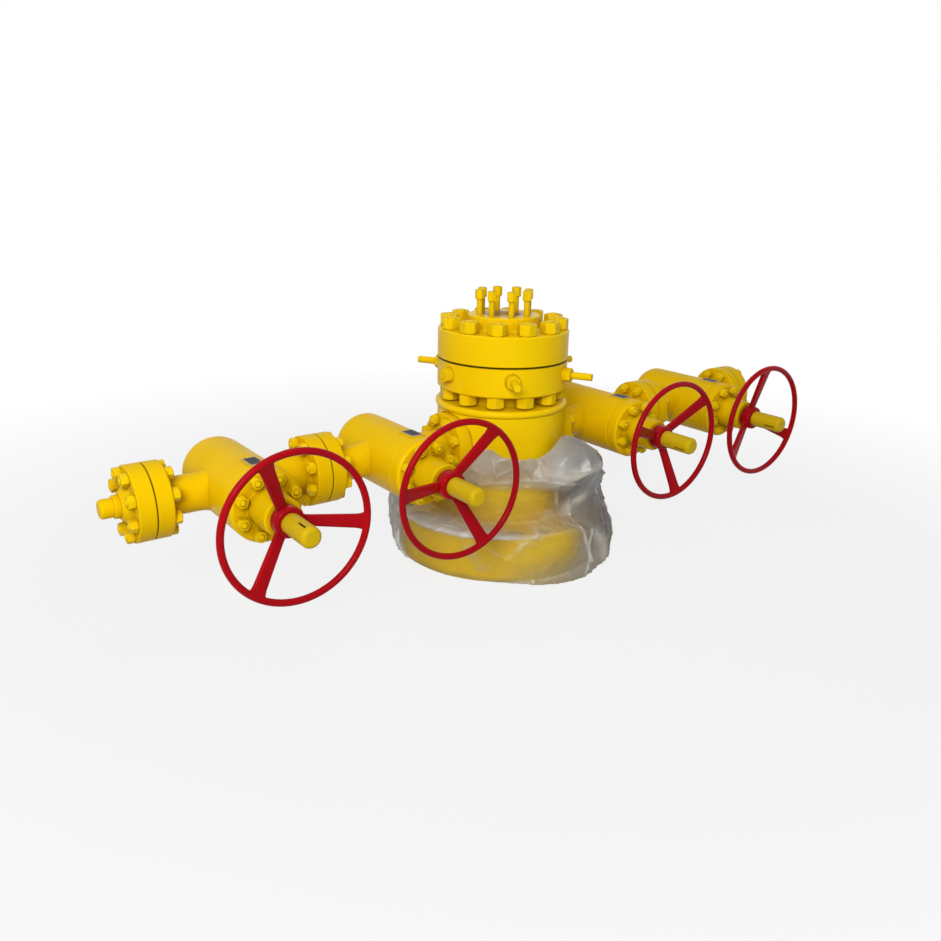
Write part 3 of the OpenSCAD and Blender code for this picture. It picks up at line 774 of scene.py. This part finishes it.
def film_point(a, j):
    """One point of the film at an angle and a row, from the hem to the top edge."""
    v = j / (FILM_ROWS - 1)
    calm = 1 - 0.75 * max(bell(a, 0, 0.22), bell(a, math.pi, 0.22)) * min(1.0, 2 * v)
    rise = min(1.0, max(0.0, (v - 0.45) / 0.3))
    right = bell(a, RIGHT + (FLAP - RIGHT) * rise, 0.52 - 0.20 * rise)
    right = min(1.0, 1.12 * right) * calm
    left = 0.95 * bell(a, LEFT, 0.45) * calm
    loose = right + left

    # Close round the metal, drawn out where it is loose, with a skirt on the floor
    r = CLOSE_ROWS[j][0] * (1 - loose) + RIGHT_ROWS[j][0] * right + LEFT_ROWS[j][0] * left
    z = CLOSE_ROWS[j][1] * (1 - loose) + RIGHT_ROWS[j][1] * right + LEFT_ROWS[j][1] * left
    if z > LEDGE:
        z = LEDGE + (z - LEDGE) * (film_top(a) - LEDGE) / (BODY_TOP - LEDGE)
    r += 0.066 * bell(a, SKIRT, 0.50) * (1 - 0.6 * right) * max(0.0, 1 - v / 0.24) ** 1.3

    # Crumples, pleats, creases and folds push it in or out
    p = Vector((r * math.cos(a), r * math.sin(a), z))
    slack = 0.45 + 0.55 * loose
    push = 0.013 * slack * noise.noise(p * 5.0)
    push += 0.007 * slack * ridge(Vector((p.x * 6, p.y * 6, p.z * 3.2)))
    push += 0.005 * ridge(p * 14 + Vector((5, 1, 2))) + 0.0016 * noise.noise(p * 48)
    pleats = 0.5 + 0.5 * math.sin(34 * a + 5 * noise.noise(p * 6))
    push += 0.006 * loose * pleats * min(1.0, 3 * (1 - v)) * min(1.0, 5 * v)
    crease = near_lines(CREASES, CREASE_W, a, z)
    fold = near_lines(FOLDS, FOLD_W, a, z)
    push += 0.005 * crease + 0.006 * fold

    # Clear of the metal and the floor
    r2 = max(r + push, metal_radius(z) + FILM_GAP)
    z2 = max(z + 0.4 * push * (v > 0.3), FILM_GAP)
    if v > 0.28 and r2 < BASE_R + EDGE_GAP:
        z2 = max(z2, RIM_TOP)
    return (r2 * math.cos(a), r2 * math.sin(a), z2), crease, fold


def film_material():
    """Cloudy plastic: clear over the flange, denser round the body and where it stands off, with
    painted light, shade, highlights and reflections in its tints.
    """
    s = Shader("clear_film")
    reach, z = s.reach()
    rise = s.add("ShaderNodeValToRGB")
    s.link(s.range(z, 0.0, 0.44), rise.inputs["Fac"])
    steps = ((0.0, 0.20), (0.12, 0.20), (0.37, 0.22), (0.40, 0.30), (0.45, 0.20), (0.66, 0.16),
             (0.74, 0.54), (0.88, 0.66))
    while len(rise.color_ramp.elements) < len(steps):
        rise.color_ramp.elements.new(0.5)
    for element, (place, grey) in zip(rise.color_ramp.elements, steps):
        element.position = place
        element.color = (grey, grey, grey, 1)
    aside = s.facing(-37)
    lean = s.math("ADD", aside, s.range(z, 0.15, 0.24, 0.0, 0.08))
    right = s.range(lean, 0.24, 0.37, 0.0, 0.62)
    left = s.range(aside, -0.33, -0.39, 0.0, 0.50)
    sides = s.most(right, left)
    haze = s.range(s.noise(6.5, 5, 0.6), 0.3, 0.72, -0.05, 0.12)
    ledge = s.math("MULTIPLY", s.range(s.facing(-155), 0.26, 0.33),
                   s.math("MULTIPLY", s.range(z, 0.162, 0.171), s.range(z, 0.190, 0.215, 1.0, 0.0)))
    vein = s.add("ShaderNodeAttribute", attribute_name="crease").outputs["Fac"]
    vein = s.math("MULTIPLY", vein, s.range(s.noise(13, 2), 0.40, 0.62, 0.05, 0.75))
    fold = s.add("ShaderNodeAttribute", attribute_name="fold").outputs["Fac"]
    fold = s.math("MULTIPLY", fold, s.range(s.noise(9, 3), 0.35, 0.62, 0.15, 0.8))
    skirt = s.math("MULTIPLY", s.range(reach, 0.396, 0.430), s.range(z, 0.04, 0.13, 1.0, 0.0))
    hem = s.range(z, 0.005, 0.030, 1.0, 0.0)
    cover = s.math("ADD", rise.outputs["Color"], haze)
    for share, most in ((sides, 1.0), (vein, 0.22), (fold, 0.32), (ledge, 0.40), (skirt, 0.66),
                        (hem, 0.45)):
        cover = s.math("ADD", cover, s.math("MULTIPLY", share, most))
    cover = s.math("MINIMUM", s.most(cover, 0.08), 0.94)
    low = s.range(z, 0.18, 0.30, 1.0, 0.0)
    tint = s.mix(s.range(s.noise(11, 4), 0.35, 0.7), CLOUDY, CLOUDY_SHADE)
    # Painted shade where the film stands off on the right: grey high up and brown low down, both
    # darkened, darkest at the far right
    low_right_shaded = s.mix(s.range(aside, 0.355, 0.415), BROWN_SHADED, BROWN_SHADE)
    right_shaded = s.mix(low, DENSE_SHADED, low_right_shaded)
    tint = s.mix(s.math("MINIMUM", s.math("MULTIPLY", right, 1.8), 1.0), tint, right_shaded)
    clear = s.range(sides, 0.1, 0.4, 1.0, 0.0)
    # Painted light over the flange's rim where the film is clear, lifting the shade cast there
    rim = s.range(z, 0.160, 0.184, 0.92, 0.0)
    tint = s.mix(s.math("MULTIPLY", rim, clear), tint, OVER_RIM_LIGHT)
    hub = s.math("MULTIPLY", s.range(z, 0.176, 0.200), s.range(z, 0.300, 0.325, 0.8, 0.0))
    tint = s.mix(s.math("MULTIPLY", hub, clear), tint, OVER_HUB)
    # Painted reflection and shade in the skirt, darker towards the right
    shade = s.mix(s.range(aside, 0.08, 0.28), SKIRT_REFLECTION, SKIRT_SHADE)
    tint = s.mix(s.math("MULTIPLY", skirt, 0.85), tint, shade)
    # Painted reflection of the sky where the film lies on the flange's top
    tint = s.mix(ledge, tint, LEDGE_SKY_REFLECTION)
    # Painted highlight along the creases and folds
    tint = s.mix(s.most(vein, s.math("MULTIPLY", fold, 0.7)), tint, CREASE_HIGHLIGHT)
    # Painted shadow along the hem
    tint = s.mix(s.math("MULTIPLY", hem, 0.75), tint, HEM_SHADOW)
    crumple = s.bump(s.noise(30, 4, 0.55), 0.38, 0.005)
    s.principled(Base_Color=tint, Roughness=0.34, Normal=crumple, Coat_Weight=0.10,
                 Coat_Roughness=0.2, Alpha=cover)
    return s.material


def make_film():
    """The film as one closed band of quads, with its creases and folds marked for the material."""
    points, creases, folds = [], [], []
    for j in range(FILM_ROWS):
        for i in range(FILM_COLUMNS):
            point, crease, fold = film_point(2 * math.pi * i / FILM_COLUMNS, j)
            points.append(point)
            creases.append(crease)
            folds.append(fold)
    faces = []
    for j in range(FILM_ROWS - 1):
        row = j * FILM_COLUMNS
        above = row + FILM_COLUMNS
        for i in range(FILM_COLUMNS):
            k = (i + 1) % FILM_COLUMNS
            faces.append((row + i, row + k, above + k, above + i))
    mesh = bpy.data.meshes.new("film")
    mesh.from_pydata(points, [], faces)
    mesh.attributes.new("crease", "FLOAT", "POINT").data.foreach_set("value", creases)
    mesh.attributes.new("fold", "FLOAT", "POINT").data.foreach_set("value", folds)
    mesh.update()
    mesh.shade_smooth()
    film = new_piece("film", mesh, film_material(), "root")
    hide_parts("base_film")


make_film()


# Floor, light and camera

# Rays that see the white background, while the rest are lit by the lamps and the sky
SHOWN_RAYS = ("Is Camera Ray", "Is Glossy Ray", "Is Transmission Ray")
FLOOR_HALF = 30.0
FLOOR_GREY = (0.45, 0.45, 0.45, 1)
# Distances from the axis between which the floor's glow rises, and its shares there
FLOOR_GLOW = (1.6, 3.4, 0.84, 1.0)
WHITE = (1, 1, 1, 1)
SKY = (0.95, 0.97, 1.0, 1)
SKY_STRENGTH = 0.32


def make_floor():
    """A floor that shows nearly white and keeps a soft shadow near the object."""
    mesh = bpy.data.meshes.new("floor")
    half = FLOOR_HALF
    mesh.from_pydata([(-half, -half, 0), (half, -half, 0), (half, half, 0), (-half, half, 0)], [],
                     [(0, 1, 2, 3)])
    floor = bpy.data.objects.new("floor", mesh)
    bpy.context.scene.collection.objects.link(floor)
    s = Shader("floor")
    diffuse = s.add("ShaderNodeBsdfDiffuse")
    diffuse.inputs["Color"].default_value = FLOOR_GREY
    glow = s.add("ShaderNodeEmission")
    glow.inputs["Color"].default_value = WHITE
    path = s.add("ShaderNodeLightPath")
    seen = s.most(*(path.outputs[ray] for ray in SHOWN_RAYS))
    flat = s.add("ShaderNodeVectorMath", operation="LENGTH")
    s.link(s.where, flat.inputs[0])
    far = s.range(flat.outputs["Value"], *FLOOR_GLOW)
    blend = s.add("ShaderNodeMixShader")
    s.link(s.math("MULTIPLY", seen, far), blend.inputs[0])
    s.link(diffuse.outputs[0], blend.inputs[1])
    s.link(glow.outputs[0], blend.inputs[2])
    s.link(blend.outputs[0], s.out.inputs["Surface"])
    dress(floor, s.material)


def make_world():
    """White behind the object, and a faint sky that lights it."""
    world = bpy.data.worlds.new("studio")
    bpy.context.scene.world = world
    world.use_nodes = True
    tree = world.node_tree
    tree.nodes.clear()
    out = tree.nodes.new("ShaderNodeOutputWorld")
    back = tree.nodes.new("ShaderNodeBackground")
    white = tree.nodes.new("ShaderNodeBackground")
    mix = tree.nodes.new("ShaderNodeMixShader")
    path = tree.nodes.new("ShaderNodeLightPath")
    back.inputs["Color"].default_value = SKY
    back.inputs["Strength"].default_value = SKY_STRENGTH
    white.inputs["Color"].default_value = WHITE
    white.inputs["Strength"].default_value = 1.0
    seen = path.outputs[SHOWN_RAYS[0]]
    for ray in SHOWN_RAYS[1:]:
        most = tree.nodes.new("ShaderNodeMath")
        most.operation = "MAXIMUM"
        tree.links.new(seen, most.inputs[0])
        tree.links.new(path.outputs[ray], most.inputs[1])
        seen = most.outputs[0]
    tree.links.new(seen, mix.inputs[0])
    tree.links.new(back.outputs[0], mix.inputs[1])
    tree.links.new(white.outputs[0], mix.inputs[2])
    tree.links.new(mix.outputs[0], out.inputs["Surface"])


def add_lamp(name, place, target, size, power):
    """A soft rectangular lamp that points at a target, with its power in watts."""
    data = bpy.data.lights.new(name, "AREA")
    data.shape = "RECTANGLE"
    data.size, data.size_y = size
    data.energy = power
    lamp = bpy.data.objects.new(name, data)
    bpy.context.scene.collection.objects.link(lamp)
    lamp.location = place
    lamp.rotation_euler = (Vector(target) - Vector(place)).to_track_quat("-Z", "Y").to_euler()


def make_camera():
    """The photograph's camera, from its turn, tilt and roll."""
    t, e, r = CAMERA_TURN, CAMERA_TILT, CAMERA_ROLL
    forward = Vector((math.sin(t) * math.cos(e), math.cos(t) * math.cos(e), -math.sin(e)))
    flat_right = Vector((math.cos(t), -math.sin(t), 0))
    flat_up = flat_right.cross(forward)
    right = math.cos(r) * flat_right + math.sin(r) * flat_up
    up = -math.sin(r) * flat_right + math.cos(r) * flat_up
    data = bpy.data.cameras.new("camera")
    data.sensor_width = SENSOR
    data.lens = FOCAL_PX / FRAME_PX * SENSOR
    camera = bpy.data.objects.new("camera", data)
    bpy.context.scene.collection.objects.link(camera)
    turn = Matrix((right, up, -forward)).transposed().to_4x4()
    camera.matrix_world = Matrix.Translation(CAMERA_AT) @ turn
    bpy.context.scene.camera = camera


make_floor()
make_world()
add_lamp("key", (-3.4, -3.3, 2.9), (0, 0, 0.45), (2.2, 2.2), 200)
add_lamp("fill", (3.4, -2.6, 1.8), (0.2, 0, 0.4), (2.2, 2.2), 5)
add_lamp("top", (-0.6, 0.4, 3.8), (-0.2, 0, 0.4), (3.0, 2.0), 14)
make_camera()
bpy.context.scene.view_settings.view_transform = "Standard"
